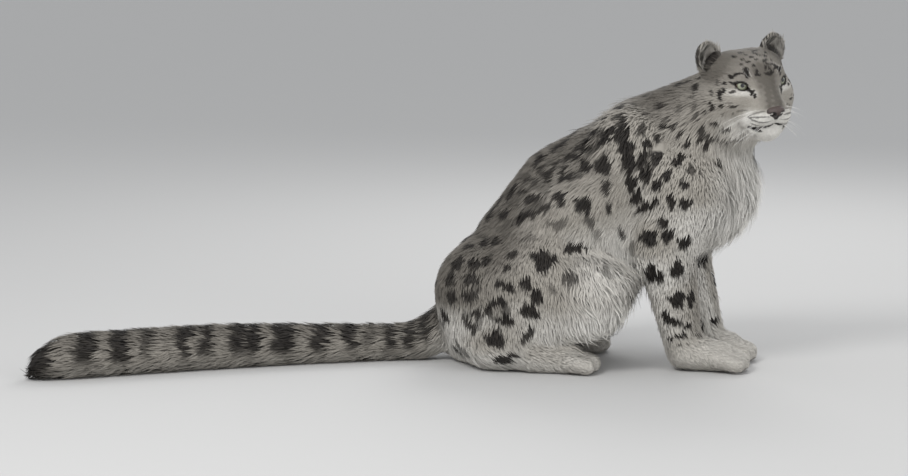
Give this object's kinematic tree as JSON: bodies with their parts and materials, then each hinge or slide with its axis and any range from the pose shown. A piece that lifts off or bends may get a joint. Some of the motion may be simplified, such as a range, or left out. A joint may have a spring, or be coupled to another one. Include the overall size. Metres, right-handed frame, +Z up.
{
  "type": "snow leopard",
  "caption": "Life-size still model of a sitting snow leopard with straight forelegs, its head turned to its right and a long thick tail laid out behind.",
  "frame": {"origin": "middle of the seat, where the pelvis rests on the floor", "axes": "+X towards the chest and forefeet, +Y to the animal's left, +Z up from the floor"},
  "size_m": [1.5987, 0.6117, 0.7277],
  "materials": {
    "coat": "long dense fur, pale smoky grey with near-black rosettes",
    "eye": "wet, clear, pale grey-green iris",
    "nose": "bare damp nose leather"
  },
  "bodies": {
    "root": {"head": "coat", "nose_pad": "nose", "eye_right": "eye", "eye_left": "eye", "ear_right": "coat", "ear_left": "coat", "neck": "coat", "forepaw_left": "coat", "forepaw_right": "coat", "foreleg_left": "coat", "foreleg_right": "coat", "hindpaw_left": "coat", "hindpaw_right": "coat", "hindleg_left": "coat", "hindleg_right": "coat", "tail_1": "coat", "tail_2": "coat", "tail_3": "coat", "tail_4": "coat", "torso_front": "coat", "torso_rear": "coat"}
  },
  "joints": []
}
